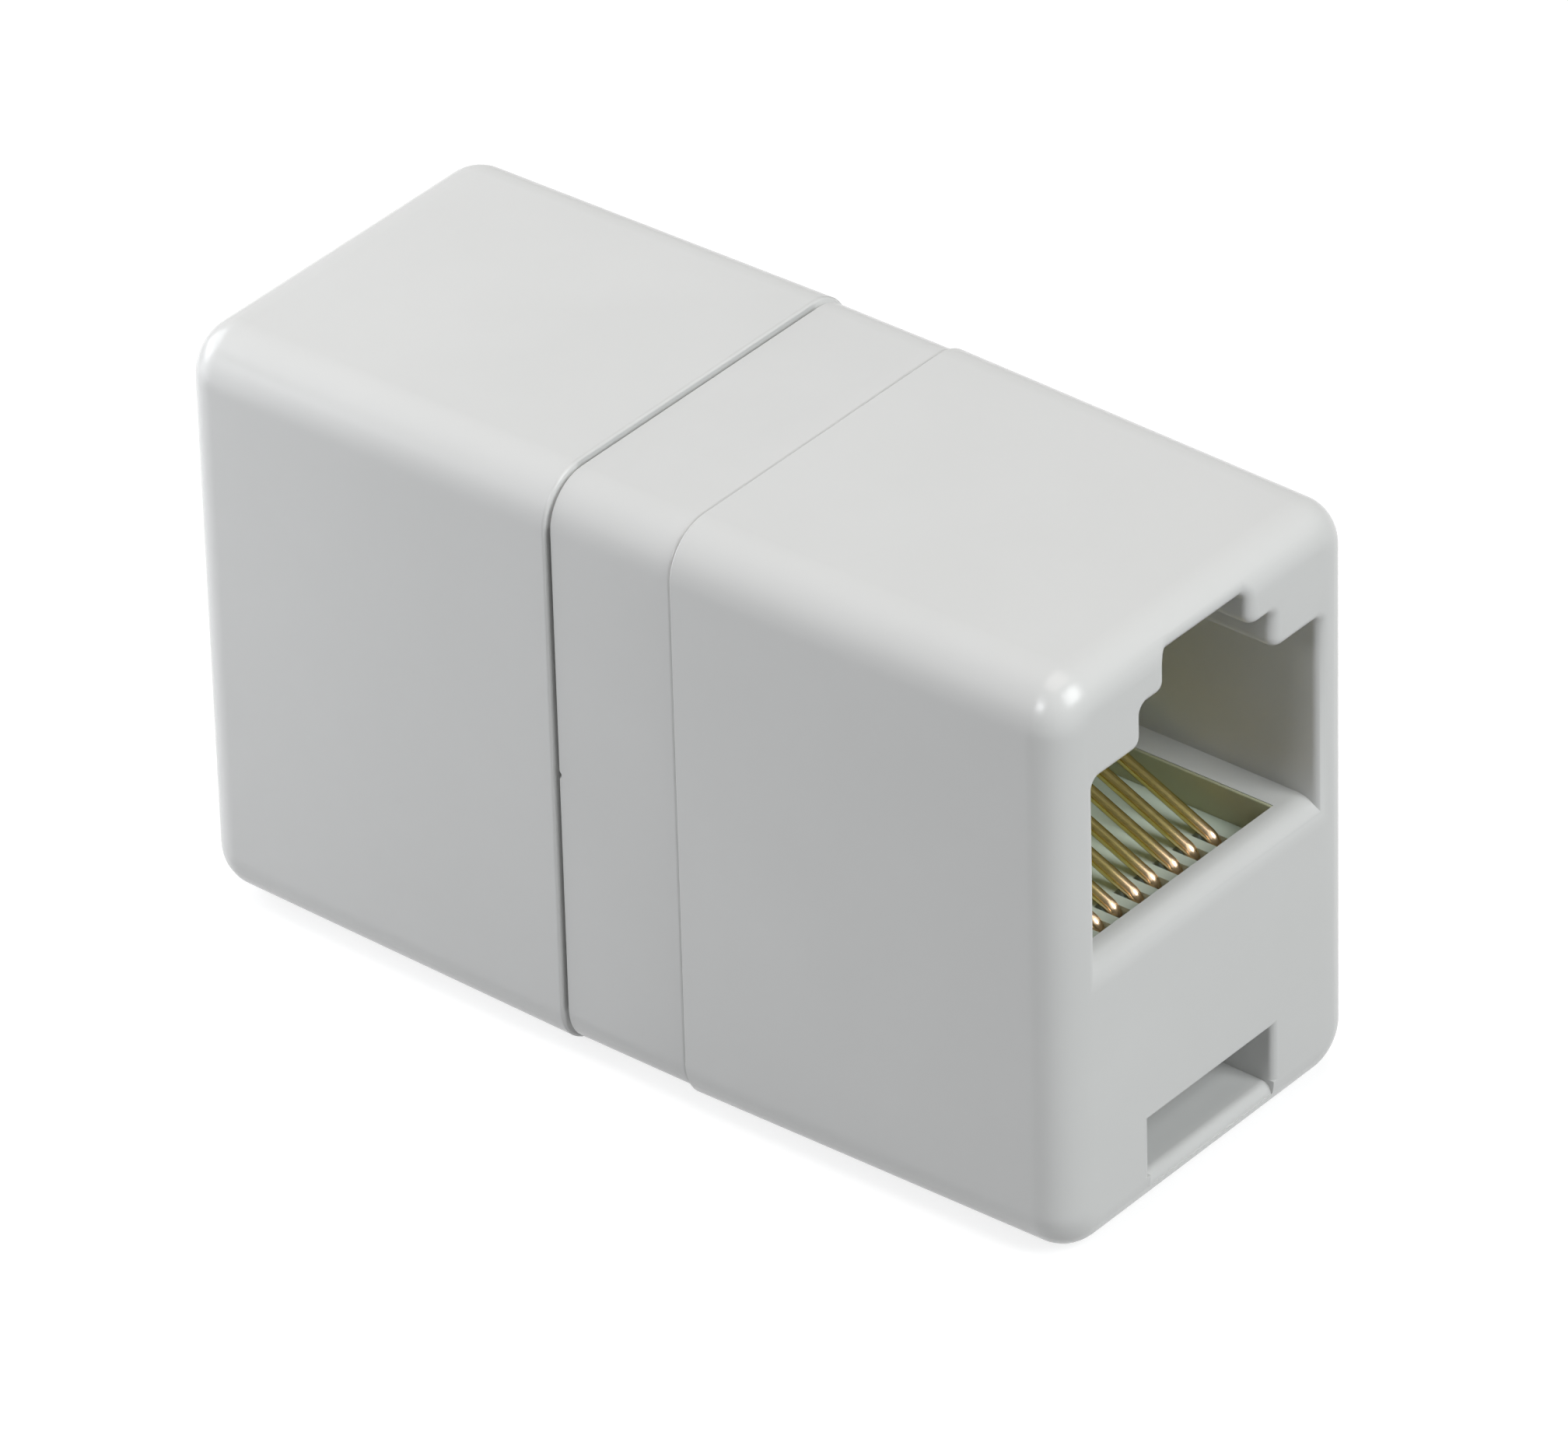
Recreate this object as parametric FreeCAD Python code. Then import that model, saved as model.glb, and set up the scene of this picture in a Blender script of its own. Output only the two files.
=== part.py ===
"""RJ45 inline coupler: two like end shells on a centre body, eight gold contact wires between two combs.

Millimetres, +Z up, +X towards the front socket, origin under the middle of the coupler.
The coupler maps onto itself when it is turned half round about the Y line through its middle, so every
front piece is modelled once and turned to make its rear twin. The front socket's latch is up, the rear's down.
"""
import FreeCAD, Part
import math
import os

V = FreeCAD.Vector

# Housing
length = 36.4            # over both end faces
width = 15.6             # across the shells at their seam edges
height = 22.2            # over the shells at their seam edges
band_length = 5.0        # the strip of the centre body that shows between the shells
band_step = 0.12         # how far that strip lies below the shells' edges
front_seam = 0.03        # gap between the centre body and the front shell, pushed home
rear_seam = 0.09         # the same gap at the rear shell, which stands off a little
shell_draft = 0.56       # degrees that each shell narrows towards its face
edge_round = 1.85        # radius of the four long edges
face_round = 1.4         # radius round each end face
rim_break = 0.1          # broken edge round each seam

# Socket
side_wall = 1.975        # shell wall beside the socket
notch_roof = 1.35        # shell wall over the latch notch
ledge_rise = 0.05        # height of the side ledges and the sill over the middle of the coupler
ledge_depth = 1.3        # thickness of a side ledge over the contact deck
ledge_width = 1.1        # how far each ledge stands out from the side of the socket
sill_thickness = 1.1     # from the face to the back of the sill
sill_round = 0.95        # quarter round along the front of the sill
lip_depth = 2.6          # thickness of the latch lips behind the face
latch_width = 6.7        # lower, wider step of the latch notch
latch_rise = 1.5         # height of that step over the shoulders
lever_width = 4.3        # upper, narrower step of the latch notch
lever_rise = 1.25        # height of that step over the lower one
ear_round = 0.5          # rounded lower corner of each latch lip
mouth_round = 0.4        # lead-in all round the mouth of the socket
corner_round = 0.25      # inner corners of the socket and its notch
socket_depth = 11.25     # from the face to the stop wall

# Shell wall, chamber and catch
spigot_wall = 1.2        # shell wall over the centre body's spigot
floor_wall = 1.5         # shell wall under the snap tongue
front_wall = 2.0         # end wall below the sill
chamber_wall = 2.2       # shell wall beside the chamber under the contact deck
catch_wall = 1.2         # bulkhead that the snap tongue hooks behind
slot_width = 6.5         # release slot in the end face
slot_height = 2.25
slot_depth = 4.4
slot_roof = 1.2
slot_round = 0.25        # rounded sides and top edge of the slot
slot_lip_round = 0.4     # rounded lip where the slot's floor meets the end face

# Centre body
spigot_setback = 0.6     # how far the spigots stop short of the stop walls
spigot_thickness = 1.0
web_thickness = 2.0
flange_rebate = 0.45     # rebate in the spigot's mouth that the stop wall seats in
tongue_width = 6.2
tongue_thickness = 1.25
hook_rise = 0.8
hook_length = 1.5
hook_round = 0.2
nick_radius = 0.17       # small nick halfway up the rear seam

# Contact carriers
deck_thickness = 1.9
deck_reach = 0.35        # how far the deck's wings reach into the shell wall, each side of the socket
stop_wall = 1.5
block_gap = 1.0          # from the end of each sloped block to the other carrier's stop wall
block_height = 8.6       # height of both blocks where they pass through the web
tip_room_below = 1.0     # play of a wire's tip in its slot in the stop wall
tip_room_above = 1.4
fit = 0.05               # clearance of every sliding fit
overcut = 1.0            # how far a cutting tool runs past the face it cuts

# Contact wires
contact_count = 8
pitch = 1.02
wire_diameter = 0.46
bend_radius = 0.55       # centre line, where a wire turns up through the deck
spring_angle = 24.0      # slope of the free end in the socket
bend_setback = 3.15      # from the face to the start of that bend
tip_overlap = 0.55       # how far a free end reaches into its slot in the stop wall
knee_radius = 0.5        # centre line, where a wire leaves its groove for the slope
groove_clearance = 0.03
comb_clearance = 0.06

# Stations along X, measured from the middle of the centre body
seam = band_length / 2 + front_seam
shell_length = (length - band_length - front_seam - rear_seam) / 2
face = seam + shell_length
stop = face - socket_depth
recess_end = stop + fit
wall_back = stop - stop_wall
block_end = wall_back - block_gap
parting_run = wall_back * 2 / 3              # half length of the wires' slope through the middle
spigot_end = stop - spigot_setback
middle = V(0, 0, height / 2)
centring = (rear_seam - front_seam) / 2
lean = shell_length * math.tan(math.radians(shell_draft))
face_flat = width / 2 - lean - face_round    # half width of the flat part of the end face

# Widths, as distances from the middle plane Y = 0
socket_half = width / 2 - side_wall
gap_half = socket_half - ledge_width
block_half = gap_half - fit
chamber_half = width / 2 - chamber_wall
mouth_lead = min(mouth_round, 0.95 * (face_flat - socket_half))
ear_radius = max(ear_round, mouth_lead + fit)

# Levels over the base
lever_top = height - notch_roof
latch_top = lever_top - lever_rise
shoulder = latch_top - latch_rise
ledge_level = height / 2 + ledge_rise
deck_top = ledge_level - ledge_depth
deck_bottom = deck_top - deck_thickness
block_bottom = (height - block_height) / 2
block_top = height - block_bottom
wire_level = deck_bottom + groove_clearance + deck_thickness / 2
wire_radius = wire_diameter / 2
parting_angle = math.atan2(height / 2 - wire_level, parting_run)


def block(x0, x1, half_width, z0, z1):
    """A box across the middle plane Y = 0."""
    return Part.makeBox(x1 - x0, 2 * half_width, z1 - z0, V(x0, -half_width, z0))


def rounded_wire(corners):
    """A closed outline through (point, radius) corners, with an arc at each corner that has a radius."""
    edges = []
    ends = []
    for i, (point, radius) in enumerate(corners):
        before = (corners[i - 1][0] - point).normalize()
        after = (corners[(i + 1) % len(corners)][0] - point).normalize()
        half = before.getAngle(after) / 2
        if radius > 0:
            reach = radius / math.tan(half)
            bisector = (before + after).normalize()
            crown = point + bisector * (radius / math.sin(half) - radius)
            ends.append((point + before * reach, point + after * reach))
            edges.append(Part.Arc(ends[-1][0], crown, ends[-1][1]).toShape())
        else:
            ends.append((point, point))
    for i, (_, leave) in enumerate(ends):
        arrive = ends[(i + 1) % len(ends)][0]
        if (arrive - leave).Length > 1e-6:
            edges.append(Part.LineSegment(leave, arrive).toShape())
    return Part.Wire(Part.__sortEdges__(edges))


def across(profile, half_width):
    """A solid from an X-Z outline of (x, z, radius) corners, as wide to each side of Y = 0."""
    wire = rounded_wire([(V(x, -half_width, z), r) for x, z, r in profile])
    return Part.Face(wire).extrude(V(0, 2 * half_width, 0))


def along(profile, x0, x1):
    """A solid from a Y-Z outline of (y, z, radius) corners, from x0 to x1."""
    wire = rounded_wire([(V(x0, y, z), r) for y, z, r in profile])
    return Part.Face(wire).extrude(V(x1 - x0, 0, 0))


def frame_outline(half_width, z0, z1, radius):
    """The corners of a rounded rectangle across the X axis."""
    return [
        (-half_width, z0, radius),
        (half_width, z0, radius),
        (half_width, z1, radius),
        (-half_width, z1, radius),
    ]


def turned(shape):
    """The rear twin of a front piece: half a turn about the Y line through the middle."""
    twin = shape.copy()
    twin.rotate(middle, V(0, 1, 0), 180)
    return twin


def edges_at(shape, x, keep):
    """The edges that lie in the plane at x and whose middle point passes keep."""
    found = []
    for edge in shape.Edges:
        box = edge.BoundBox
        if abs(box.XMin - x) < 1e-4 and abs(box.XMax - x) < 1e-4:
            if keep(edge.CenterOfMass):
                found.append(edge)
    return found


def drafted_body():
    """The outside of a shell: a block that narrows to the face, with its long edges and face rounded."""
    half = width / 2
    body = Part.makeWedge(-half, seam, 0, lean, lean - half, half, face, height, height - lean, half - lean)
    body.rotate(V(0, 0, 0), V(0, 0, 1), -90)
    long_edges = [e for e in body.Edges if e.BoundBox.XLength > shell_length / 2]
    body = body.makeFillet(edge_round, long_edges)
    body = body.makeFillet(face_round, edges_at(body, face, lambda c: True))
    return body.makeChamfer(rim_break, edges_at(body, seam, lambda c: True))


def mirrored(right):
    """A closed Y-Z outline from its right half, bottom to top."""
    return right + [(-y, z, r) for y, z, r in reversed(right)]


def socket_mouth():
    """The outline of the socket at the face, with the two-step latch notch above it."""
    return mirrored([
        (socket_half, ledge_level, 0),
        (socket_half, shoulder, corner_round),
        (latch_width / 2, shoulder, ear_radius),
        (latch_width / 2, latch_top, corner_round),
        (lever_width / 2, latch_top, mouth_lead + fit),
        (lever_width / 2, lever_top, corner_round),
    ])


def socket_space():
    """The outline of the socket behind the latch lips, where the latch springs up."""
    return mirrored([
        (socket_half, ledge_level, 0),
        (socket_half, shoulder, corner_round),
        (latch_width / 2, shoulder, ear_radius),
        (latch_width / 2, lever_top, corner_round),
    ])


def mouth_edges(shell):
    """The edges of the mouth at the end face, apart from the sill's; the notch runs up into the rounded rim."""
    found = []
    for edge in shell.Edges:
        centre = edge.CenterOfMass
        in_mouth = abs(centre.y) < socket_half + 1e-3 and ledge_level < centre.z < lever_top + 1e-3
        beside_lever = centre.z > latch_top + lever_rise / 4 and abs(centre.y) > lever_width / 2 + 1e-3
        if edge.BoundBox.XMin > face - face_round / 2 and in_mouth and not beside_lever:
            found.append(edge)
    return found


def corner_cutter(x, z, radius, half_width):
    """What lies outside a quarter round whose crown is at x and z: a cutter that rounds an edge along Y."""
    corner = block(x - radius, x + overcut, half_width, z - radius, z)
    bar = Part.makeCylinder(radius, 2 * half_width, V(x - radius, -half_width, z - radius), V(0, 1, 0))
    return corner.cut(bar)


def sill_cutter():
    """Rounds the front of the sill, mitred into the lead-in at each side of the mouth."""
    outer = socket_half + mouth_lead
    cutter = corner_cutter(face, ledge_level, sill_round, outer)
    low = ledge_level - sill_round
    lead_start = face - mouth_lead
    back = face - sill_round - overcut
    beside = block(back, lead_start, outer, low, ledge_level)
    kept = [beside.cut(block(back, lead_start, socket_half, low, ledge_level))]
    for y in (-outer, outer):
        kept.append(Part.makeCylinder(mouth_lead, sill_round, V(lead_start, y, low)))
    return cutter.cut(kept)


def with_release_slot(shell):
    """The shell with its slot cut and rounded above the rim, then cut down to the floor and the lip rounded."""
    slot_end = face - slot_depth
    slot_top = floor_wall + slot_height
    rim_top = max(floor_wall, lean + face_round) + fit
    shell = shell.cut(block(slot_end, face + overcut, slot_width / 2, rim_top, slot_top))
    rounded = edges_at(shell, face, lambda c: rim_top + fit < c.z < slot_top + fit)
    shell = shell.makeFillet(slot_round, rounded)
    floor = block(slot_end, face + overcut, slot_width / 2, floor_wall, slot_top)
    return shell.cut([floor, slot_lip_cutter()])


def slot_lip_cutter():
    """Rounds the lip of the release slot, so that its floor runs smoothly out into the rounded rim."""
    radius = min(slot_lip_round, face_round / 2)
    drop = max(0, lean + face_round - floor_wall + radius)
    run = math.sqrt(max(0, (face_round - radius) ** 2 - drop ** 2))
    return corner_cutter(face - face_round + run + radius, floor_wall, radius, slot_width / 2)


def shell_chambers():
    """What is hollow in a shell below the socket: the deck's pocket, the chamber and the way past the catch."""
    deck_half = socket_half + deck_reach + fit
    inner_face = face - front_wall
    slot_end = face - slot_depth
    catch_back = slot_end - catch_wall
    slot_top = floor_wall + slot_height
    sill_back = face - sill_thickness
    return [
        block(recess_end, sill_back, gap_half, deck_bottom, ledge_level + fit),
        block(recess_end, sill_back, deck_half, deck_bottom - fit, deck_top + fit),
        block(recess_end, catch_back, chamber_half, floor_wall, deck_bottom),
        block(recess_end, inner_face, chamber_half, slot_top + slot_roof, deck_bottom),
        block(catch_back - fit, slot_end + fit, tongue_width / 2 + 2 * fit, floor_wall,
              floor_wall + tongue_thickness + 3 * fit),
    ]


def end_shell():
    """One end shell: the front one, open at the seam, with the socket, its ledges, the slot and the catch."""
    shell = with_release_slot(drafted_body())
    shell = shell.cut(along(socket_mouth(), face - lip_depth, face + overcut))
    shell = shell.makeFillet(mouth_lead, mouth_edges(shell))

    spigot_half = width / 2 - spigot_wall - fit
    recess = frame_outline(spigot_half, spigot_wall, height - spigot_wall, edge_round - spigot_wall)
    shell = shell.cut([
        along(socket_space(), recess_end, face - lip_depth),
        along(recess, seam - overcut, recess_end),
        sill_cutter(),
    ])
    return shell.cut(shell_chambers()).removeSplitter()


def snap_tongue():
    """The flat tongue along the shell's floor, with the hook that springs up behind the catch."""
    root = web_thickness / 2
    low = floor_wall + fit
    top = low + tongue_thickness
    hook_back = face - slot_depth + 2 * fit
    tip = hook_back + hook_length
    profile = [
        (root, low, 0),
        (tip, low, hook_round),
        (tip, low + tongue_thickness / 2, hook_round),
        (hook_back + hook_length / 3, top + hook_rise, hook_round),
        (hook_back, top + hook_rise, 0),
        (hook_back, top, 0),
        (root, top, 0),
    ]
    return across(profile, tongue_width / 2)


def centre_body():
    """The collar between the shells, its two spigots, the web across it and the two snap tongues."""
    collar = frame_outline(width / 2 - band_step, band_step, height - band_step, edge_round - band_step)
    band = along(collar, -band_length / 2, band_length / 2)
    for x in (-band_length / 2, band_length / 2):
        band = band.makeChamfer(rim_break, edges_at(band, x, lambda c: True))
    spigot_half = width / 2 - spigot_wall - 2 * fit
    low = spigot_wall + fit
    outside = frame_outline(spigot_half, low, height - low, edge_round - spigot_wall - fit)
    body = band.fuse(along(outside, -spigot_end, spigot_end))

    inner_half = spigot_half - spigot_thickness - flange_rebate
    rebate_half = spigot_half - spigot_thickness
    inner_low = low + spigot_thickness
    bore = block(web_thickness / 2, spigot_end, inner_half, inner_low, height - inner_low)
    rebate = block(wall_back - fit, spigot_end, rebate_half, inner_low, height - inner_low)
    window = block(-web_thickness, web_thickness, block_half + fit, block_bottom - fit, block_top + fit)
    body = body.cut([bore, rebate, turned(bore), turned(rebate), window])

    tongue = snap_tongue()
    body = body.fuse([tongue, turned(tongue)])
    nick = Part.makeCylinder(nick_radius, width, V(-band_length / 2, -width / 2, height / 2), V(0, 1, 0))
    core = block(-band_length, band_length, width / 2 - 2 * nick_radius, 0, height)
    return body.cut(nick.cut(core)).removeSplitter()


def contact_places():
    """The Y place of each contact, number 1 at +Y."""
    first = pitch * (contact_count - 1) / 2
    return [first - pitch * i for i in range(contact_count)]


def wire_channels(y):
    """What is cut from the front carrier for the contact at y: groove, comb slot, tip slot and sloped lay."""
    groove_half = wire_radius + groove_clearance
    comb_half = wire_radius + comb_clearance
    bend_x = face - bend_setback
    groove_back = parting_run - overcut
    groove_low = deck_bottom - overcut
    groove_length = bend_x - groove_back
    tip_back = stop - tip_overlap - wire_radius
    lay_half = parting_run / math.cos(parting_angle) + overcut
    down_slope = V(math.cos(parting_angle), 0, -math.sin(parting_angle))
    return [
        Part.makeBox(groove_length, 2 * groove_half, wire_level - groove_low,
                     V(groove_back, y - groove_half, groove_low)),
        Part.makeCylinder(groove_half, groove_length, V(groove_back, y, wire_level), V(1, 0, 0)),
        Part.makeBox(face - comb_back(), 2 * comb_half, deck_thickness + 2 * overcut,
                     V(comb_back(), y - comb_half, groove_low)),
        Part.makeBox(stop - tip_back, 2 * comb_half, tip_room_below + tip_room_above,
                     V(tip_back, y - comb_half, spring_height(stop) - tip_room_below)),
        Part.makeCylinder(groove_half, 2 * lay_half, middle + V(0, y, 0) - down_slope * lay_half, down_slope),
    ]


def front_carrier():
    """The front contact carrier: the deck under the socket, the stop wall behind it and the sloped block."""
    inset = spigot_wall + 3 * fit + spigot_thickness
    slope = math.tan(parting_angle)
    parting_level = height / 2 + fit / 2 / math.cos(parting_angle)
    block_root = wall_back + stop_wall / 2
    deck = block(stop - fit, face - sill_thickness - fit, socket_half + deck_reach, deck_bottom, deck_top)
    wall = block(wall_back, stop, width / 2 - inset, deck_bottom, height - inset)
    wedge = across([
        (block_root, deck_bottom, 0),
        (block_root, block_top, 0),
        (-block_end, block_top, 0),
        (-block_end, parting_level + slope * block_end, 0),
        ((parting_level - deck_bottom) / slope, deck_bottom, 0),
    ], block_half)
    carrier = wall.fuse([deck, wedge])
    channels = []
    for y in contact_places():
        channels += wire_channels(y)
    return carrier.cut(channels).removeSplitter()


def spring_height(x):
    """The level of a wire's centre line on its free slope in the front socket."""
    turn = math.radians(90 - spring_angle)
    start_x = face - bend_setback + bend_radius * math.cos(turn)
    start_z = wire_level + bend_radius + bend_radius * math.sin(turn)
    return start_z + (start_x - x) * math.tan(math.radians(spring_angle))


def comb_back():
    """Where the comb slots end: just behind the point where the free slope clears the deck."""
    clear = deck_top + wire_radius / math.cos(math.radians(spring_angle)) + comb_clearance
    back = clear - spring_height(0)
    return -back / math.tan(math.radians(spring_angle))


def contact_wire(y):
    """One contact: free slope, bend, groove, slope through the middle, and the same again at the rear."""
    turn = math.radians(90 - spring_angle)
    bend_x = face - bend_setback
    bend_centre = V(bend_x, y, wire_level + bend_radius)
    tip_x = stop - tip_overlap
    tip = V(tip_x, y, spring_height(tip_x))
    bend_end = bend_centre + V(math.cos(turn), 0, math.sin(turn)) * bend_radius
    bend_start = V(bend_x, y, wire_level)
    half_sweep = (turn - math.pi / 2) / 2
    bend_crown = bend_centre + V(math.cos(half_sweep), 0, math.sin(half_sweep)) * bend_radius

    knee_reach = knee_radius * math.tan(parting_angle / 2)
    knee_front = V(parting_run + knee_reach, y, wire_level)
    knee_centre = knee_front + V(0, 0, knee_radius)
    down = V(0, 0, -knee_radius)
    knee_back = knee_centre + V(-math.sin(parting_angle), 0, -math.cos(parting_angle)) * knee_radius
    half_knee = parting_angle / 2
    knee_crown = knee_centre + V(-math.sin(half_knee), 0, -math.cos(half_knee)) * knee_radius

    front = [
        Part.LineSegment(tip, bend_end).toShape(),
        Part.Arc(bend_end, bend_crown, bend_start).toShape(),
        Part.LineSegment(bend_start, knee_front).toShape(),
        Part.Arc(knee_front, knee_crown, knee_back).toShape(),
    ]
    rear = [turned(edge) for edge in reversed(front)]
    opposite = V(-knee_back.x, y, height - knee_back.z)
    slope = Part.LineSegment(knee_back, opposite).toShape()
    path = Part.Wire(front + [slope] + rear)
    section = Part.Wire(Part.makeCircle(wire_radius, tip, bend_end - tip))
    return path.makePipeShell([section], True, False)


def main():
    os.makedirs("parts", exist_ok=True)
    shell = end_shell()
    rear_shell = turned(shell)
    rear_shell.translate(V(front_seam - rear_seam, 0, 0))
    carrier = front_carrier()
    pieces = {
        "front_shell": shell,
        "rear_shell": rear_shell,
        "centre_body": centre_body(),
        "front_contact_carrier": carrier,
        "rear_contact_carrier": turned(carrier),
    }
    for number, y in enumerate(contact_places(), 1):
        pieces["contact_wire_%d" % number] = contact_wire(y)
    for name, shape in pieces.items():
        shape.translate(V(centring, 0, 0))
        shape.exportStep("parts/%s.step" % name)
        box = shape.BoundBox
        print("%-22s solids %d valid %s vol %8.2f  x %.2f..%.2f  y %.2f..%.2f  z %.2f..%.2f" % (
            name, len(shape.Solids), shape.isValid(), shape.Volume,
            box.XMin, box.XMax, box.YMin, box.YMax, box.ZMin, box.ZMax))


main()
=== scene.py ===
"""The looks of an RJ45 inline coupler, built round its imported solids, in metres.

The file follows the coupler as it is put together: shells, centre body, contact carriers and contact wires,
and then the table it lies on, the lamps and the camera.
"""
import math

import bmesh
import bpy
from mathutils import Matrix, Vector


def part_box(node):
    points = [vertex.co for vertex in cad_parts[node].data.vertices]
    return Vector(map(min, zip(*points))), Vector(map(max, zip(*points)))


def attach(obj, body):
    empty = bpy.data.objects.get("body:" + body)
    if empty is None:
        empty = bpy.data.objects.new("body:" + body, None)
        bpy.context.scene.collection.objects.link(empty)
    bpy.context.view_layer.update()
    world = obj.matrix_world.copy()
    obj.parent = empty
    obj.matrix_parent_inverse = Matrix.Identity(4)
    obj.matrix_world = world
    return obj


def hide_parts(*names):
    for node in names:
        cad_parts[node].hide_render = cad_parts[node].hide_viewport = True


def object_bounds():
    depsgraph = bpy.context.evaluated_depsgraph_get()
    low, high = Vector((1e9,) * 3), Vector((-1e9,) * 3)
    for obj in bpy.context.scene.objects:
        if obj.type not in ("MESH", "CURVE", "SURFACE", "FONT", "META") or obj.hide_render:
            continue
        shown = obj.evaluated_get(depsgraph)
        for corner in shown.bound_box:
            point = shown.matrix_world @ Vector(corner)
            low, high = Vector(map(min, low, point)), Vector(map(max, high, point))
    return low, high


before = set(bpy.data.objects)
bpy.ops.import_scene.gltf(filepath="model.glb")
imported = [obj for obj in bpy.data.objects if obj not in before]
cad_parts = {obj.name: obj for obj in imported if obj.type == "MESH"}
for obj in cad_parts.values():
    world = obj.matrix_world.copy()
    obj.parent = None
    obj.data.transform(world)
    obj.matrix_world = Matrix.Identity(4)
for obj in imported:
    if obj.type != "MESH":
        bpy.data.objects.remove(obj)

MM = 0.001
scene = bpy.context.scene


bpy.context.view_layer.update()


# ---------------------------------------------------------------------------------------------------------
# End shells. Each is one satin ABS moulding, and the rear one is the front one turned half round.
# They are pushed over the centre body's spigots, where its snap tongues hold them.
# ---------------------------------------------------------------------------------------------------------

moulding_edge = 50                   # degrees, the bend past which a moulding's edge is sharp
weld_reach = 0.0005 * MM


def plain_mesh(piece):
    """The mesh that a piece's modifiers give."""
    return bpy.data.meshes.new_from_object(piece.evaluated_get(bpy.context.evaluated_depsgraph_get()))


def shade(mesh, sharp_angle):
    """Smooth shading, apart from the edges that bend by more than an angle in degrees."""
    mesh.shade_smooth()
    mesh.set_sharp_from_angle(angle=math.radians(sharp_angle))


def new_piece(name, data):
    """An object of this name in the scene, with its place in its mesh."""
    piece = bpy.data.objects.new(name, data)
    scene.collection.objects.link(piece)
    return piece


def finished_copy(name, node, sharp_angle):
    """A copy of a solid's mesh with its corners merged and its rounded edges shaded smooth."""
    piece = new_piece(name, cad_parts[node].data.copy())
    weld = piece.modifiers.new("weld", "WELD")
    weld.merge_threshold = weld_reach
    merged = plain_mesh(piece)
    piece.modifiers.remove(weld)
    piece.data = merged
    for loose_attribute in ("custom_normal", "sharp_edge", "sharp_face"):
        if loose_attribute in merged.attributes:
            merged.attributes.remove(merged.attributes[loose_attribute])
    shade(merged, sharp_angle)
    even = piece.modifiers.new("even normals", "WEIGHTED_NORMAL")
    even.mode = "FACE_AREA"
    even.weight = 50
    even.keep_sharp = True
    shaded = plain_mesh(piece)
    piece.modifiers.remove(even)
    piece.data = shaded
    shaded.name = name
    return piece


def new_group(name, inputs, outputs):
    """An empty shader node group with typed sockets, and its input and output nodes."""
    group = bpy.data.node_groups.new(name, "ShaderNodeTree")
    for label, kind, value in inputs:
        socket = group.interface.new_socket(label, in_out="INPUT", socket_type=kind)
        socket.default_value = value
    for label, kind in outputs:
        group.interface.new_socket(label, in_out="OUTPUT", socket_type=kind)
    return group, group.nodes.new("NodeGroupInput"), group.nodes.new("NodeGroupOutput")


def speckle(tree, scale, detail, where):
    """A noise of this many specks to a metre, on the coordinates that a socket gives."""
    noise = tree.nodes.new("ShaderNodeTexNoise")
    noise.inputs["Scale"].default_value = scale
    noise.inputs["Detail"].default_value = detail
    tree.links.new(where, noise.inputs["Vector"])
    return noise.outputs["Fac"]


def ridges(tree, height, depth, strength=None):
    """A bump node whose relief follows a height, so many metres deep."""
    bump = tree.nodes.new("ShaderNodeBump")
    bump.inputs["Distance"].default_value = depth
    if strength is not None:
        bump.inputs["Strength"].default_value = strength
    tree.links.new(height, bump.inputs["Height"])
    return bump


def moulded_skin():
    """Group: a moulding's skin. Faint flow clouds in the colour, a fine spark texture and uneven gloss."""
    flow_clouds, smears, spark_grain = 190, 420, 9000     # specks to a metre
    grain_depth = 0.01 * MM
    group, given, out = new_group(
        "moulded skin",
        [("Colour", "NodeSocketColor", (0.7, 0.7, 0.69, 1)),
         ("Cloud Colour", "NodeSocketColor", (0.66, 0.66, 0.65, 1)),
         ("Gloss", "NodeSocketFloat", 0.35),
         ("Gloss Change", "NodeSocketFloat", 0.06),
         ("Texture Depth", "NodeSocketFloat", 0.1)],
        [("Colour", "NodeSocketColor"), ("Roughness", "NodeSocketFloat"), ("Normal", "NodeSocketVector")])
    link = group.links.new
    place = group.nodes.new("ShaderNodeTexCoord").outputs["Object"]
    tint = group.nodes.new("ShaderNodeMix")
    tint.data_type = "RGBA"
    link(speckle(group, flow_clouds, detail=3, where=place), tint.inputs["Factor"])
    link(given.outputs["Colour"], tint.inputs["A"])
    link(given.outputs["Cloud Colour"], tint.inputs["B"])
    link(tint.outputs["Result"], out.inputs["Colour"])

    centred = group.nodes.new("ShaderNodeMath")
    centred.operation = "SUBTRACT"
    centred.inputs[1].default_value = 0.5
    link(speckle(group, smears, detail=4, where=place), centred.inputs[0])
    gloss = group.nodes.new("ShaderNodeMath")
    gloss.operation = "MULTIPLY_ADD"
    link(centred.outputs[0], gloss.inputs[0])
    link(given.outputs["Gloss Change"], gloss.inputs[1])
    link(given.outputs["Gloss"], gloss.inputs[2])
    link(gloss.outputs[0], out.inputs["Roughness"])

    relief = ridges(group, speckle(group, spark_grain, detail=2, where=place), grain_depth)
    link(given.outputs["Texture Depth"], relief.inputs["Strength"])
    link(relief.outputs["Normal"], out.inputs["Normal"])
    return group


skin = moulded_skin()


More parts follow.
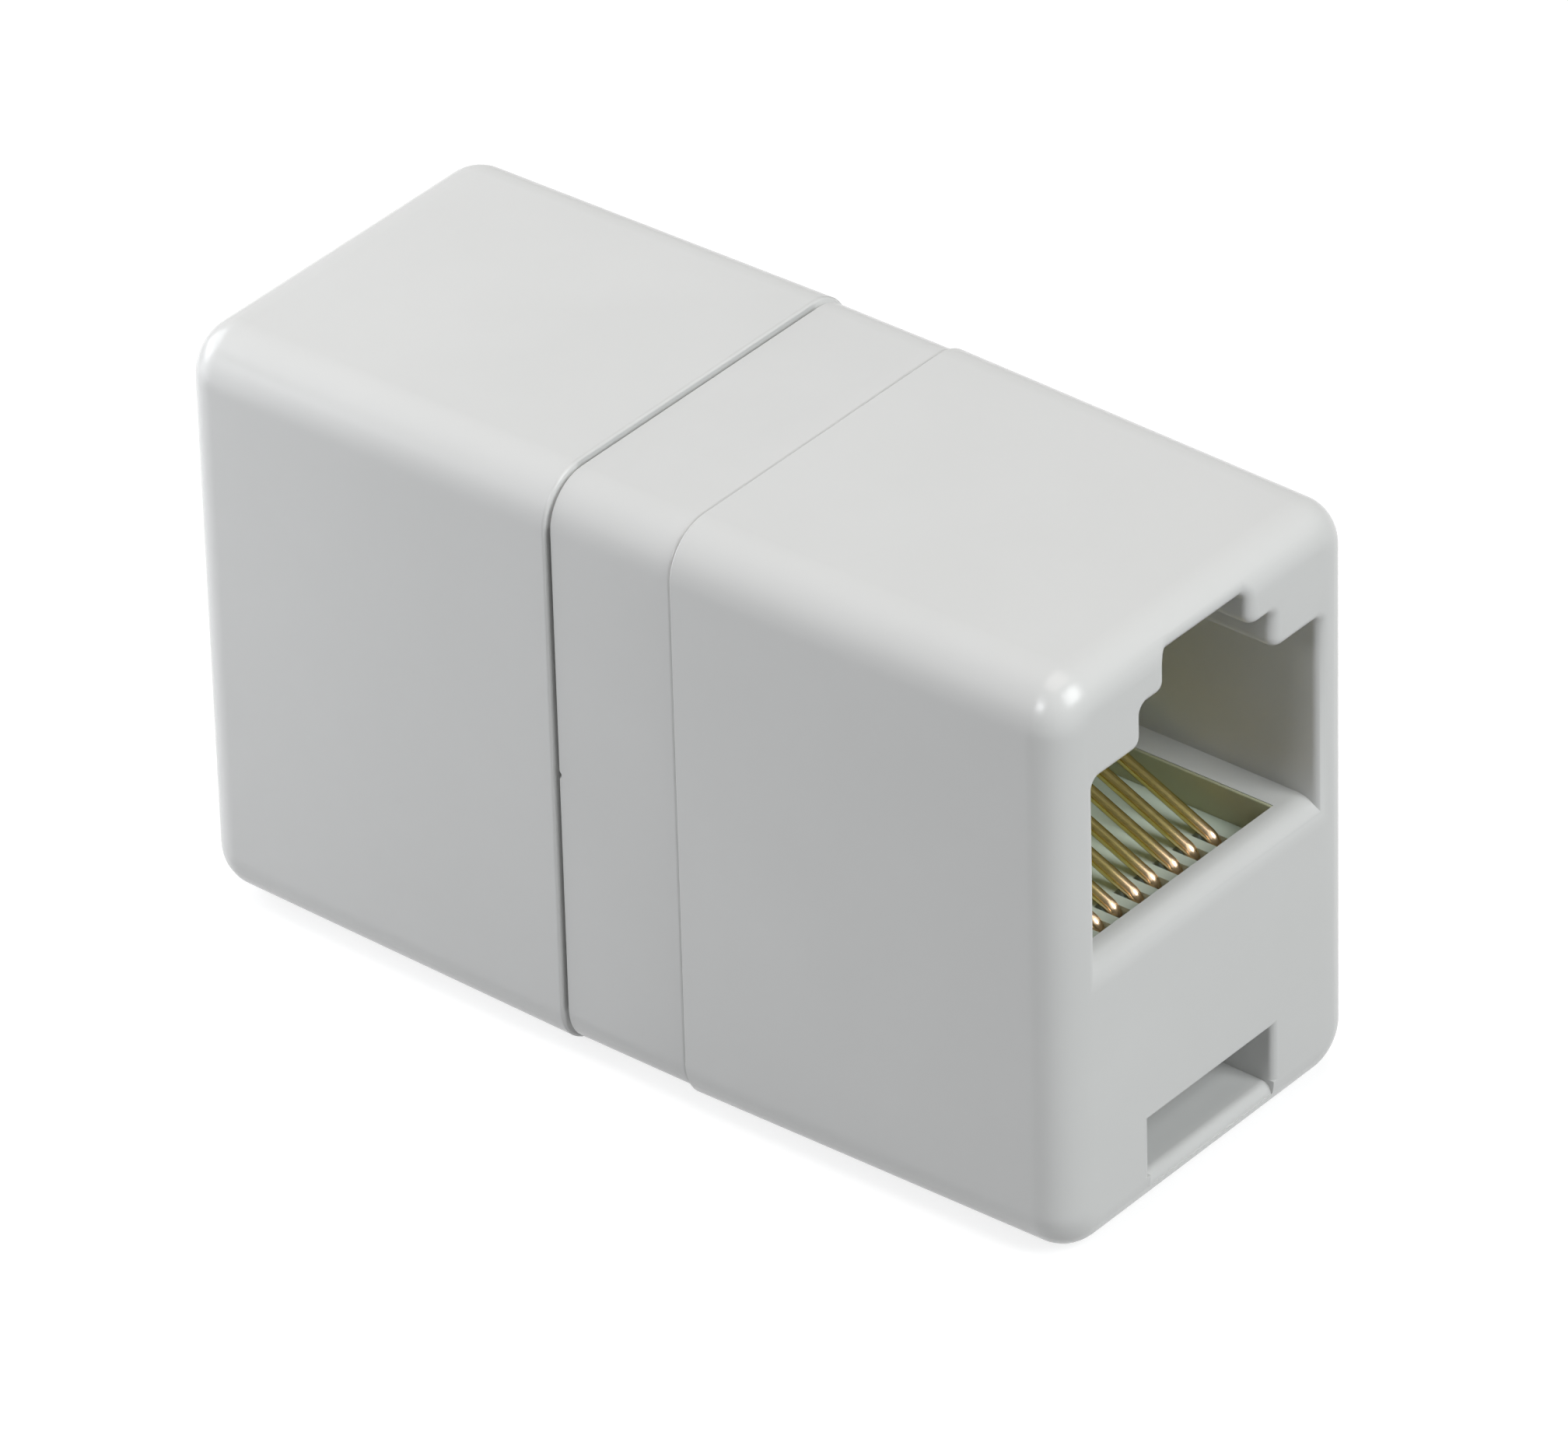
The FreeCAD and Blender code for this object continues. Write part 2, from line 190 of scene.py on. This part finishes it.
def moulding_plastic(name, colour, cloud, gloss, gloss_change, depth, specular):
    """A moulded plastic: the skin group in front of a Principled BSDF."""
    material = bpy.data.materials.new(name)
    material.use_nodes = True
    nodes = material.node_tree.nodes
    link = material.node_tree.links.new
    shader = nodes["Principled BSDF"]
    shader.inputs["IOR"].default_value = 1.5
    shader.inputs["Specular IOR Level"].default_value = specular
    surface = nodes.new("ShaderNodeGroup")
    surface.node_tree = skin
    surface.inputs["Colour"].default_value = (*colour, 1)
    surface.inputs["Cloud Colour"].default_value = (*cloud, 1)
    surface.inputs["Gloss"].default_value = gloss
    surface.inputs["Gloss Change"].default_value = gloss_change
    surface.inputs["Texture Depth"].default_value = depth
    link(surface.outputs["Colour"], shader.inputs["Base Color"])
    link(surface.outputs["Roughness"], shader.inputs["Roughness"])
    link(surface.outputs["Normal"], shader.inputs["Normal"])
    return material


def dress(piece, material, slot_name, *nodes):
    """Puts a finish on a piece, which then stands for its solids and rides with them."""
    piece.data.materials.clear()
    piece.data.materials.append(material)
    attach(piece, "root")
    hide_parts(*nodes)


shell_abs = moulding_plastic(
    "shell_abs", colour=(0.66, 0.662, 0.654), cloud=(0.625, 0.627, 0.618),
    gloss=0.24, gloss_change=0.06, depth=0.1, specular=0.5)
for end in ("front", "rear"):
    shell = finished_copy(end + "_end_shell", end + "_shell", moulding_edge)
    dress(shell, shell_abs, "shell_plastic", end + "_shell")


# ---------------------------------------------------------------------------------------------------------
# Centre body. The collar that shows between the shells is moulded in one with two spigots, the web
# across the middle and two snap tongues, in the same ABS.
# ---------------------------------------------------------------------------------------------------------

collar_abs = moulding_plastic(
    "collar_abs", colour=(0.655, 0.657, 0.65), cloud=(0.615, 0.617, 0.608),
    gloss=0.235, gloss_change=0.06, depth=0.1, specular=0.5)
collar = finished_copy("collar_and_spigots", "centre_body", moulding_edge)
dress(collar, collar_abs, "centre_plastic", "centre_body")


# ---------------------------------------------------------------------------------------------------------
# Contact carriers. Two like combs of pale blue-green PBT, whose sloped blocks clamp the wires between
# them in the middle of the coupler. Thin sheets line the pit that each comb's deck lies in. Their dark
# olive is painted shade on the pit's sides, with a painted reflection of the gold in it.
# ---------------------------------------------------------------------------------------------------------

comb_edge = 40                       # degrees, the bend past which a comb's edge is sharp
comb_pbt = moulding_plastic(
    "comb_pbt", colour=(0.7, 0.79, 0.7), cloud=(0.66, 0.75, 0.66),
    gloss=0.45, gloss_change=0.1, depth=0.2, specular=0.4)
for end in ("front", "rear"):
    comb = finished_copy(end + "_comb", end + "_contact_carrier", comb_edge)
    dress(comb, comb_pbt, "carrier_plastic", end + "_contact_carrier")

shade_sheet_thickness = 0.12 * MM
shade_sheet_round = 0.04 * MM
pit_half_width = 4.725 * MM          # from the coupler's middle to the side of the pit between the ledges
pit_ends = (6.95 * MM, 17.1 * MM)    # from its middle to the stop wall, and to the sill
pit_levels = (-1.26 * MM, 0.04 * MM)    # from its middle to the deck, and to just under the ledges' tops


def pit_shade_sheets(name, end):
    """Thin sheets on the sides of one comb's pit, dark with painted shade. The end is 1 in front, and -1 at
    the rear, half a turn round.
    """
    low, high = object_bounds()
    middle = (low.z + high.z) / 2
    mesh = bmesh.new()
    for side in (-1, 1):
        plate = bmesh.ops.create_cube(mesh, size=1)
        centre = Vector((end * sum(pit_ends) / 2, side * (pit_half_width - shade_sheet_thickness / 2),
                         middle + end * sum(pit_levels) / 2))
        size = Vector((pit_ends[1] - pit_ends[0], shade_sheet_thickness, pit_levels[1] - pit_levels[0]))
        bmesh.ops.transform(mesh, matrix=Matrix.LocRotScale(centre, None, size), verts=plate["verts"])
    bmesh.ops.bevel(mesh, geom=mesh.edges[:], offset=shade_sheet_round, segments=3, profile=0.5, affect="EDGES")
    data = bpy.data.meshes.new(name)
    mesh.to_mesh(data)
    mesh.free()
    shade(data, moulding_edge)
    return new_piece(name, data)


# Painted shade: dark olive for the pit's shaded sides, with a painted reflection of the gold in it.
painted_pit_shade = moulding_plastic(
    "painted_pit_shade", colour=(0.46, 0.475, 0.31), cloud=(0.4, 0.405, 0.285),
    gloss=0.45, gloss_change=0.1, depth=0.2, specular=0.4)
dress(pit_shade_sheets("front_pit_shade_sheets", 1), painted_pit_shade, "carrier_plastic")
dress(pit_shade_sheets("rear_pit_shade_sheets", -1), painted_pit_shade, "carrier_plastic")


# ---------------------------------------------------------------------------------------------------------
# Contact wires. Eight phosphor bronze wires, hard gold over nickel, each bent up as a spring in both
# sockets. They lie side by side at the socket's pitch, clamped between the combs.
# ---------------------------------------------------------------------------------------------------------

wire_names = ["contact_wire_%d" % number for number in range(1, 9)]
wire_pitch = 1.02 * MM
wire_diameter = 0.46 * MM
wire_bend = 0.55 * MM                # radius of its bends, to the middle of the wire
spring_slope = math.radians(24)      # of the free ends in the sockets
run_drop = 2.17 * MM                 # from the coupler's middle down to the run under the front deck
knee_reach = 3.63 * MM               # from the coupler's middle to the knee where that run starts to climb
wire_stagger = 0.05 * MM             # every other wire sits this much further forward or back
bend_steps = 18                      # straight steps round each bend
section_sides = 28                   # sides of the wire's round section
wire_edge = 60                       # degrees, the bend past which a wire's edge is sharp


def wire_route():
    """One wire as an open line with sharp corners: free end, bend, run, climb, and the same again."""
    low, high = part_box(wire_names[-1])
    middle = (low + high) / 2
    tip_rise = (high.z - middle.z) - wire_diameter / 2 * math.cos(spring_slope)
    bend_middle = (high.x - middle.x) - wire_diameter / 2 - wire_bend
    bend_corner = bend_middle + wire_bend / math.tan(spring_slope / 2)
    tip_reach = bend_corner - (tip_rise + run_drop) / math.tan(spring_slope)
    front = [(tip_reach, tip_rise), (bend_corner, -run_drop), (knee_reach, -run_drop)]
    rear = [(-x, -z) for x, z in reversed(front)]
    curve = bpy.data.curves.new("wire route", "CURVE")
    curve.dimensions = "3D"
    line = curve.splines.new("POLY")
    line.points.add(len(front + rear) - 1)
    for point, (x, z) in zip(line.points, front + rear):
        point.co = (middle.x + x, middle.y, middle.z + z, 1)
    return curve


def contact_row_tree():
    """Geometry nodes: rounds the route's corners, gives it a round section and repeats it at the pitch."""
    tree = bpy.data.node_groups.new("contact row", "GeometryNodeTree")
    tree.interface.new_socket("Route", in_out="INPUT", socket_type="NodeSocketGeometry")
    tree.interface.new_socket("Count", in_out="INPUT", socket_type="NodeSocketInt")
    for label in ("Pitch", "Diameter", "Bend Radius", "Stagger"):
        tree.interface.new_socket(label, in_out="INPUT", socket_type="NodeSocketFloat")
    tree.interface.new_socket("Finish", in_out="INPUT", socket_type="NodeSocketMaterial")
    tree.interface.new_socket("Wires", in_out="OUTPUT", socket_type="NodeSocketGeometry")
    new, link = tree.nodes.new, tree.links.new
    given = new("NodeGroupInput")

    bends = new("GeometryNodeFilletCurve")
    bends.mode = "POLY"
    bends.inputs["Count"].default_value = bend_steps
    link(given.outputs["Route"], bends.inputs["Curve"])
    link(given.outputs["Bend Radius"], bends.inputs["Radius"])
    half = new("ShaderNodeMath")
    half.operation = "MULTIPLY"
    half.inputs[1].default_value = 0.5
    link(given.outputs["Diameter"], half.inputs[0])
    section = new("GeometryNodeCurvePrimitiveCircle")
    section.inputs["Resolution"].default_value = section_sides
    link(half.outputs[0], section.inputs["Radius"])
    wire = new("GeometryNodeCurveToMesh")
    wire.inputs["Fill Caps"].default_value = True
    link(bends.outputs["Curve"], wire.inputs["Curve"])
    link(section.outputs["Curve"], wire.inputs["Profile Curve"])

    places = new("GeometryNodeMeshLine")
    step = new("ShaderNodeCombineXYZ")
    link(given.outputs["Pitch"], step.inputs["Y"])
    link(given.outputs["Count"], places.inputs["Count"])
    link(step.outputs[0], places.inputs["Offset"])
    number = new("GeometryNodeInputIndex")
    odd = new("ShaderNodeMath")
    odd.operation = "MODULO"
    odd.inputs[1].default_value = 2
    link(number.outputs[0], odd.inputs[0])
    side = new("ShaderNodeMath")
    side.operation = "MULTIPLY_ADD"
    side.inputs[1].default_value = 2
    side.inputs[2].default_value = -1
    link(odd.outputs[0], side.inputs[0])
    shift = new("ShaderNodeMath")
    shift.operation = "MULTIPLY"
    link(side.outputs[0], shift.inputs[0])
    link(given.outputs["Stagger"], shift.inputs[1])
    shove = new("ShaderNodeCombineXYZ")
    link(shift.outputs[0], shove.inputs["X"])
    staggered = new("GeometryNodeSetPosition")
    link(places.outputs["Mesh"], staggered.inputs["Geometry"])
    link(shove.outputs[0], staggered.inputs["Offset"])
    row = new("GeometryNodeInstanceOnPoints")
    link(staggered.outputs["Geometry"], row.inputs["Points"])
    link(wire.outputs["Mesh"], row.inputs["Instance"])

    real = new("GeometryNodeRealizeInstances")
    link(row.outputs["Instances"], real.inputs["Geometry"])
    finish = new("GeometryNodeSetMaterial")
    link(real.outputs["Geometry"], finish.inputs["Geometry"])
    link(given.outputs["Finish"], finish.inputs["Material"])
    link(finish.outputs["Geometry"], new("NodeGroupOutput").inputs["Wires"])
    return tree


def contact_row(material):
    """All eight wires as one plain mesh, shaded round with sharp cut ends."""
    row = new_piece("spring_contacts", wire_route())
    nodes = row.modifiers.new("contact row", "NODES")
    nodes.node_group = contact_row_tree()
    sizes = {"Count": len(wire_names), "Pitch": wire_pitch, "Diameter": wire_diameter,
             "Bend Radius": wire_bend, "Stagger": wire_stagger, "Finish": material}
    for socket in nodes.node_group.interface.items_tree:
        if socket.name in sizes:
            nodes[socket.identifier] = sizes[socket.name]
    mesh = plain_mesh(row)
    bpy.data.objects.remove(row)
    mesh.name = "spring_contacts"
    shade(mesh, wire_edge)
    return new_piece("spring_contacts", mesh)


def gold_plate(bend_reach, bend_length):
    """Hard gold with fine drawing lines along the wire, a painted peach highlight at the bends and painted
    shade in its dark edge tint.
    """
    lines_to_a_metre = (600, 9000, 9000)     # along the wire, and twice across it
    line_depth = 0.004 * MM
    material = bpy.data.materials.new("gold_plate")
    material.use_nodes = True
    nodes = material.node_tree.nodes
    link = material.node_tree.links.new
    shader = nodes["Principled BSDF"]
    shader.inputs["Metallic"].default_value = 1
    # Painted shade: a dark edge tint that darkens the wires' flanks.
    shader.inputs["Specular Tint"].default_value = (0.18, 0.15, 0.1, 1)
    place = nodes.new("ShaderNodeTexCoord")
    drawn = nodes.new("ShaderNodeMapping")
    drawn.inputs["Scale"].default_value = lines_to_a_metre
    link(place.outputs["Object"], drawn.inputs["Vector"])
    lines = speckle(material.node_tree, 1, detail=3, where=drawn.outputs["Vector"])
    flash = nodes.new("ShaderNodeMix")
    flash.data_type = "RGBA"
    flash.inputs["A"].default_value = (0.68, 0.56, 0.18, 1)
    flash.inputs["B"].default_value = (0.88, 0.72, 0.33, 1)
    link(lines, flash.inputs["Factor"])

    along = nodes.new("ShaderNodeSeparateXYZ")
    link(place.outputs["Object"], along.inputs[0])
    reach = nodes.new("ShaderNodeMath")
    reach.operation = "ABSOLUTE"
    link(along.outputs["X"], reach.inputs[0])
    # Painted highlight: the colour turns a paler peach towards each bend.
    at_bend = nodes.new("ShaderNodeMapRange")
    at_bend.interpolation_type = "SMOOTHSTEP"
    at_bend.inputs["From Min"].default_value = bend_reach - bend_length
    at_bend.inputs["From Max"].default_value = bend_reach
    link(reach.outputs[0], at_bend.inputs["Value"])
    tint = nodes.new("ShaderNodeMix")
    tint.data_type = "RGBA"
    tint.inputs["B"].default_value = (0.95, 0.7, 0.46, 1)
    link(at_bend.outputs["Result"], tint.inputs["Factor"])
    link(flash.outputs["Result"], tint.inputs["A"])
    link(tint.outputs["Result"], shader.inputs["Base Color"])

    gloss = nodes.new("ShaderNodeMapRange")
    gloss.inputs["To Min"].default_value = 0.21
    gloss.inputs["To Max"].default_value = 0.27
    link(lines, gloss.inputs["Value"])
    link(gloss.outputs["Result"], shader.inputs["Roughness"])
    relief = ridges(material.node_tree, lines, line_depth, strength=0.15)
    link(relief.outputs["Normal"], shader.inputs["Normal"])
    return material


wire_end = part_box(wire_names[-1])[1].x
gold = gold_plate(wire_end - wire_bend / 2, 2 * wire_bend)
dress(contact_row(gold), gold, "contact_gold", *wire_names)


# ---------------------------------------------------------------------------------------------------------
# Table and backdrop. A plain white sheet: white to the camera and in reflections, and it keeps the
# coupler's shadow.
# ---------------------------------------------------------------------------------------------------------

def seen_directly(nodes, link):
    """A value that is 1 where the camera, a reflection or a refraction looks straight at the surface."""
    path = nodes.new("ShaderNodeLightPath")
    either = nodes.new("ShaderNodeMath")
    either.operation = "MAXIMUM"
    link(path.outputs["Is Camera Ray"], either.inputs[0])
    link(path.outputs["Is Glossy Ray"], either.inputs[1])
    any_of = nodes.new("ShaderNodeMath")
    any_of.operation = "MAXIMUM"
    link(either.outputs[0], any_of.inputs[0])
    link(path.outputs["Is Transmission Ray"], any_of.inputs[1])
    return any_of.outputs[0]


def white_table():
    """A large flat sheet under the coupler."""
    half = 3.0
    grey = 0.4                # what the sheet throws back on the coupler
    added_white = 0.75        # only where it is seen
    mesh = bpy.data.meshes.new("table")
    outline = [(-half, -half, 0), (half, -half, 0), (half, half, 0), (-half, half, 0)]
    mesh.from_pydata(outline, [], [(0, 1, 2, 3)])
    table = new_piece("table", mesh)
    material = bpy.data.materials.new("white_sheet")
    material.use_nodes = True
    nodes = material.node_tree.nodes
    link = material.node_tree.links.new
    nodes.remove(nodes["Principled BSDF"])
    matt = nodes.new("ShaderNodeBsdfDiffuse")
    matt.inputs["Color"].default_value = (grey, grey, grey, 1)
    glow = nodes.new("ShaderNodeEmission")
    lift = nodes.new("ShaderNodeMath")
    lift.operation = "MULTIPLY"
    lift.inputs[1].default_value = added_white
    link(seen_directly(nodes, link), lift.inputs[0])
    link(lift.outputs[0], glow.inputs["Strength"])
    both = nodes.new("ShaderNodeAddShader")
    link(matt.outputs[0], both.inputs[0])
    link(glow.outputs[0], both.inputs[1])
    link(both.outputs[0], nodes["Material Output"].inputs["Surface"])
    mesh.materials.append(material)


def studio_air():
    """The world: plain white where it is seen, and no light of its own on matt surfaces."""
    world = bpy.data.worlds.new("studio")
    scene.world = world
    world.use_nodes = True
    nodes = world.node_tree.nodes
    link = world.node_tree.links.new
    background = nodes["Background"]
    background.inputs["Color"].default_value = (1, 1, 1, 1)
    link(seen_directly(nodes, link), background.inputs["Strength"])


white_table()
studio_air()


# ---------------------------------------------------------------------------------------------------------
# Lamps. Soft boxes in front, at both sides of the camera and overhead, with two small ones close to the
# rear end, which make the long side fade towards the front.
# ---------------------------------------------------------------------------------------------------------

lamp_aim = Vector((0, 0, 0.0111))    # the middle of the coupler


def soft_box(name, azimuth, elevation, distance, size, power, colour):
    """A square lamp that faces the coupler, placed by its angles in degrees and its distance in metres."""
    turn, rise = math.radians(azimuth), math.radians(elevation)
    away = Vector((math.sin(turn) * math.cos(rise), -math.cos(turn) * math.cos(rise), math.sin(rise)))
    lamp = bpy.data.lights.new(name, "AREA")
    lamp.shape = "SQUARE"
    lamp.size = size
    lamp.energy = power
    lamp.color = colour
    box = bpy.data.objects.new(name, lamp)
    box.location = lamp_aim + away * distance
    box.rotation_euler = (-away).to_track_quat("-Z", "Y").to_euler()
    box.visible_camera = False
    scene.collection.objects.link(box)


warm = (1, 0.945, 0.91)
cool = (0.955, 0.988, 0.995)
cold = (0.952, 0.973, 1)
soft_box("overhead_box", 0, 89.9, 0.5, 0.35, 0.89, warm)
soft_box("front_box", 94, 40, 0.45, 0.25, 1.27, cool)
soft_box("front_right_box", 106, 33, 0.5, 0.25, 0.32, cool)
soft_box("left_box", -2, 38, 0.5, 0.2, 0.32, cold)
soft_box("left_head_box", 3, 33, 0.6, 0.14, 0.55, cold)
soft_box("rear_end_box", -80, 25, 0.1, 0.06, 0.039, cold)
soft_box("rear_low_box", -60, 10, 0.09, 0.06, 0.024, cold)


# ---------------------------------------------------------------------------------------------------------
# Camera. A long lens from above, over the corner between the front face and the side.
# ---------------------------------------------------------------------------------------------------------

def long_lens(azimuth, elevation, roll, distance, target, lens):
    """The camera, from its angles in degrees and its distance and target in metres."""
    turn, rise = math.radians(azimuth), math.radians(elevation)
    back = Vector((math.sin(turn) * math.cos(rise), -math.cos(turn) * math.cos(rise), math.sin(rise)))
    facing = (-back).to_track_quat("-Z", "Y").to_matrix() @ Matrix.Rotation(math.radians(-roll), 3, "Z")
    data = bpy.data.cameras.new("camera")
    data.lens = lens
    data.sensor_width = 36
    data.clip_start = 0.01
    camera = bpy.data.objects.new("camera", data)
    camera.matrix_world = Matrix.Translation(Vector(target) + back * distance) @ facing.to_4x4()
    scene.collection.objects.link(camera)
    scene.camera = camera


long_lens(azimuth=39.93, elevation=33.46, roll=1.594, distance=0.4397,
          target=(0.00068, 0.00002, 0.01047), lens=310.3)

scene.view_settings.view_transform = "Standard"
